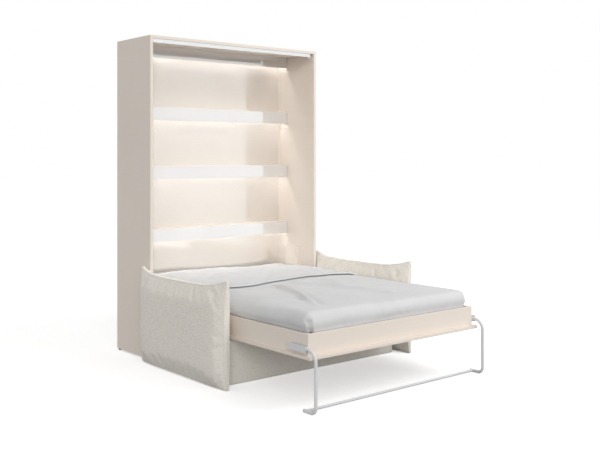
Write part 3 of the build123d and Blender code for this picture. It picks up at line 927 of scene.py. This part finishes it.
def make_fold():
    """The turned-back end: a thick layer that follows the duvet across the bed.

    Its section along the bed is a closed loop: from the head end along the underside, round a half circle at
    the fold, and along the top back to the head end. It is carried across the duvet's rounded profile and
    thins out where it goes down inside the rails, where its two ends are open.
    """
    bedding = bpy.context.scene.bed_bedding
    top, thick = bedding.crown / MM, bedding.fold / MM
    across = np.linspace(-1, 1, 151)
    edge, drop = side_edge(across, np.full_like(across, -200))
    reach = DUVET_HALF_W - edge
    arc = np.clip((np.abs(across) - FLAT_SHARE) / BEND_SHARE, 0, 1) * math.pi / 2
    hang = np.clip((np.abs(across) - 1 + HANG_SHARE) / HANG_SHARE, 0, 1) * (top - drop - DUVET_LOW + 10)
    flat = np.clip(np.abs(across) / FLAT_SHARE, 0, 1) * reach
    sign = np.sign(across)
    px = sign * (flat + edge * np.sin(arc))
    pz = top - drop * (1 - np.cos(arc)) - hang
    nx = sign * np.sin(arc) / edge
    nz = np.cos(arc) / drop
    size = np.hypot(nx, nz)
    nx, nz = nx / size, nz / size
    body = thick * (1 - 0.75 * smooth_step(arc, 0.5, 1.5))
    px, pz, nx, nz, arc, body = (column[:, None] for column in (px, pz, nx, nz, arc, body))
    front, half = curve_through(px, FOLD_LINE), body / 2
    turn = np.linspace(-math.pi / 2, math.pi / 2, 9)[1:-1]
    under_y = DUVET_HEAD + (front + half - DUVET_HEAD) * np.linspace(0, 1, 60)
    bend_y = front + half - half * np.cos(turn)
    over_y = under_y[:, ::-1]
    y = np.concatenate([under_y, bend_y, over_y], 1)
    spread = np.broadcast_to(px, over_y.shape)
    puff = 6 * np.exp(-(((px + 150) / 330) ** 2)) + 3 * drift(spread, over_y, 330, 21)
    puff = puff + 1.6 * drift(spread, over_y, 130, 22)
    pillow = smooth_step(over_y, -430, -100) * (1 - 1.1 * smooth_step(over_y, 60, 340))
    rise = pillow * 12 * (1 - (px / 760) ** 6) + puff * smooth_step(over_y, -560, -430)
    head_end = 1 - (1 - smooth_step(DUVET_HEAD - over_y, 0, 26)) * 0.9
    gap = FOLD_GAP + 7.5 * np.exp(-(under_y - under_y[:, -1:]) / 30)
    bend_lift = half * (1 + np.sin(turn)) + 7.0
    over_lift = body * head_end + rise * (1 - smooth_step(arc, 0.6, 1.5)) * head_end
    lift = np.concatenate([gap, np.maximum(bend_lift, FOLD_GAP), over_lift + 1.5], 1)
    ground = duvet_lift(np.broadcast_to(px, y.shape), y) * (1 - smooth_step(arc, 0.2, 0.9))
    x = px + nx * lift
    z = pz + nz * (lift + ground)
    rows, count = y.shape
    points = np.stack([x, y, z], -1).reshape(-1, 3)
    i, j = np.meshgrid(np.arange(rows - 1), np.arange(count), indexing="ij")
    after = (j + 1) % count
    quads = np.stack([i * count + j, i * count + after, (i + 1) * count + after, (i + 1) * count + j], -1)
    fold = make_piece("duvet_turnback", to_frame(points), quads.reshape(-1, 4), "bed_linen", "bed")
    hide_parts("duvet_fold")


# ---------------------------------------------------------------- studio

CAMERA_AT = (-3.8905, -4.760, 1.440)
CAMERA_TURN = 0.695026
CAMERA_LENS = 52.01
CAMERA_SHIFT = -0.1125
KEY_AT, KEY_TARGET, KEY_SIZE = (2.9, -3.4, 4.7), (0, 0.5, 0.9), 3.4
FILL_AT, FILL_ANGLE = (-4.8, -7.2, 3.2), math.radians(40)
FLOOR_HALF = 60


def make_camera():
    """A level camera off the bed's left front corner, shifted down so that uprights stay upright."""
    data = bpy.data.cameras.new("camera")
    data.lens = CAMERA_LENS
    data.sensor_width = 36
    data.shift_y = CAMERA_SHIFT
    data.clip_end = 100
    camera = bpy.data.objects.new("camera", data)
    camera.location = CAMERA_AT
    camera.rotation_euler = (math.pi / 2, 0, -CAMERA_TURN)
    bpy.context.scene.collection.objects.link(camera)
    bpy.context.scene.camera = camera


def make_floor(colour):
    """A wide pale floor: near white to the camera and mirrors, but it lights the object only moderately."""
    f = Finish("studio_floor", roughness=0.9, specular_ior_level=0.0)
    f.set("Base Color", f.mix(f.noise(1.5), shade(colour, 0.98), shade(colour, 1.0)))
    pale = f.node("ShaderNodeBsdfDiffuse", {}, {"Color": (0.80, 0.80, 0.80)})
    glow = f.node("ShaderNodeEmission", {}, {"Strength": 0.46})
    seen = f.node("ShaderNodeAddShader", {}, {0: pale, 1: glow})
    direct = f.node("ShaderNodeLightPath", output="Is Camera Ray")
    mirrored = f.node("ShaderNodeLightPath", output="Is Glossy Ray")
    shown = f.node("ShaderNodeMath", {"operation": "MAXIMUM"}, {0: direct, 1: mirrored})
    both = f.node("ShaderNodeMixShader", {}, {0: shown, 1: f.shader.outputs[0], 2: seen})
    output = next(n for n in f.tree.nodes if n.type == "OUTPUT_MATERIAL")
    f.fill(output.inputs["Surface"], both)
    corners = [(x * FLOOR_HALF, y * FLOOR_HALF, 0) for x, y in ((-1, -1), (1, -1), (1, 1), (-1, 1))]
    floor = new_object("studio_floor", corners, [(0, 1, 2, 3)])
    floor.data.materials.append(f.material)


def make_sky(horizon, zenith):
    """White light from all round, weaker overhead; the camera and mirrors see plain white."""
    world = bpy.data.worlds.new("studio")
    bpy.context.scene.world = world
    world.use_nodes = True
    tree = world.node_tree
    sky = next(n for n in tree.nodes if n.type == "BACKGROUND")
    sky.inputs["Color"].default_value = (1, 1, 1, 1)
    heading = tree.nodes.new("ShaderNodeTexCoord")
    parts = tree.nodes.new("ShaderNodeSeparateXYZ")
    height = tree.nodes.new("ShaderNodeMapRange")
    height.inputs["To Min"].default_value = horizon
    height.inputs["To Max"].default_value = zenith
    path = tree.nodes.new("ShaderNodeLightPath")
    seen = tree.nodes.new("ShaderNodeMath")
    seen.operation = "MAXIMUM"
    level = tree.nodes.new("ShaderNodeMapRange")
    level.inputs["To Max"].default_value = 1.0
    for start, end in (
        (heading.outputs["Generated"], parts.inputs[0]),
        (parts.outputs["Z"], height.inputs["Value"]),
        (path.outputs["Is Camera Ray"], seen.inputs[0]),
        (path.outputs["Is Glossy Ray"], seen.inputs[1]),
        (seen.outputs[0], level.inputs["Value"]),
        (height.outputs["Result"], level.inputs["To Min"]),
        (level.outputs["Result"], sky.inputs["Strength"]),
    ):
        tree.links.new(start, end)


def aim(light, origin, target):
    """Places a light and points it; mirrors don't see it."""
    light.location = origin
    direction = Vector(target) - Vector(origin)
    light.rotation_euler = direction.to_track_quat("-Z", "Y").to_euler()
    light.visible_glossy = False
    bpy.context.scene.collection.objects.link(light)


def make_lamps(key, fill):
    """A broad soft light over the bed's right front corner, and a softer one from the left."""
    data = bpy.data.lights.new("key", "AREA")
    data.energy = key
    data.size = KEY_SIZE
    aim(bpy.data.objects.new("key", data), KEY_AT, KEY_TARGET)
    data = bpy.data.lights.new("fill", "SUN")
    data.energy = fill
    data.angle = FILL_ANGLE
    aim(bpy.data.objects.new("fill", data), FILL_AT, (0, 0, 0))


# ---------------------------------------------------------------- operators

class BED_OT_cabinet(bpy.types.Operator):
    """Finish the carcass, the fascias, the shelves and the closing profile"""
    bl_idname = "bed.finish_cabinet"
    bl_label = "Finish cabinet"

    def execute(self, context):
        finish_nodes("cashmere_board", "gloss_back", "gloss_fascia", "closing_aluminium", "white_plastic")
        return {"FINISHED"}


class BED_OT_lights(bpy.types.Operator):
    """Finish the light strips and their supply"""
    bl_idname = "bed.finish_lights"
    bl_label = "Finish lights"

    def execute(self, context):
        finish_nodes("led_aluminium", "led_opal")
        return {"FINISHED"}


class BED_OT_mechanism(bpy.types.Operator):
    """Finish the lift mechanism, its struts and covers"""
    bl_idname = "bed.finish_mechanism"
    bl_label = "Finish lift mechanism"

    def execute(self, context):
        finish_nodes("cover_plastic", "zinc_steel", "bush_brass", "strut_black", "strut_chrome")
        return {"FINISHED"}


class BED_OT_slats(bpy.types.Operator):
    """Finish the slats, their holders, the folding leg and the sofa's timber"""
    bl_idname = "bed.finish_slats_and_leg"
    bl_label = "Finish slats and leg"

    def execute(self, context):
        finish_nodes("birch", "black_plastic", "leg_paint", "sofa_timber")
        return {"FINISHED"}


class BED_OT_arms(bpy.types.Operator):
    """Sew the two arm cushions"""
    bl_idname = "bed.sew_arms"
    bl_label = "Sew arms"

    def execute(self, context):
        make_arm("arm_left", -1, 11)
        make_arm("arm_right", 1, 23)
        return {"FINISHED"}


class BED_OT_seat(bpy.types.Operator):
    """Upholster the seat base"""
    bl_idname = "bed.sew_seat"
    bl_label = "Upholster seat"

    def execute(self, context):
        make_seat()
        return {"FINISHED"}


class BED_OT_bedding(bpy.types.Operator):
    """Make the mattress, the duvet and its turned-back end"""
    bl_idname = "bed.make_bedding"
    bl_label = "Make bedding"

    def execute(self, context):
        make_mattress()
        make_duvet()
        make_fold()
        return {"FINISHED"}


class BED_OT_stage(bpy.types.Operator):
    """Set the studio: floor, light and camera"""
    bl_idname = "bed.set_stage"
    bl_label = "Set stage"

    def execute(self, context):
        studio = context.scene.bed_studio
        make_floor(tuple(studio.floor))
        make_sky(studio.horizon, studio.zenith)
        make_lamps(studio.key, studio.fill)
        make_camera()
        context.scene.view_settings.view_transform = "Standard"
        return {"FINISHED"}


OPERATORS = (
    BED_OT_cabinet, BED_OT_lights, BED_OT_mechanism, BED_OT_slats,
    BED_OT_arms, BED_OT_seat, BED_OT_bedding, BED_OT_stage,
)


class BED_PT_maker(bpy.types.Panel):
    """Sizes, colours and making of the wall bed"""
    bl_idname = "BED_PT_maker"
    bl_label = "Wall Bed"
    bl_space_type = "VIEW_3D"
    bl_region_type = "UI"
    bl_category = "Wall Bed"

    def draw(self, context):
        for group_name, group in GROUPS.items():
            box = self.layout.box()
            for key in group.__annotations__:
                box.prop(getattr(context.scene, group_name), key)
        for operator in OPERATORS:
            self.layout.operator(operator.bl_idname)


CLASSES = (*GROUPS.values(), *OPERATORS, BED_PT_maker)


def register():
    for cls in CLASSES:
        bpy.utils.register_class(cls)
    for name, group in GROUPS.items():
        setattr(bpy.types.Scene, name, PointerProperty(type=group))


def unregister():
    for name in GROUPS:
        delattr(bpy.types.Scene, name)
    for cls in reversed(CLASSES):
        bpy.utils.unregister_class(cls)


def main():
    """Registers the add-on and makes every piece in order."""
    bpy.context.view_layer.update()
    register()
    for operator in OPERATORS:
        group, name = operator.bl_idname.split(".")
        getattr(getattr(bpy.ops, group), name)()


if __name__ == "__main__":
    main()
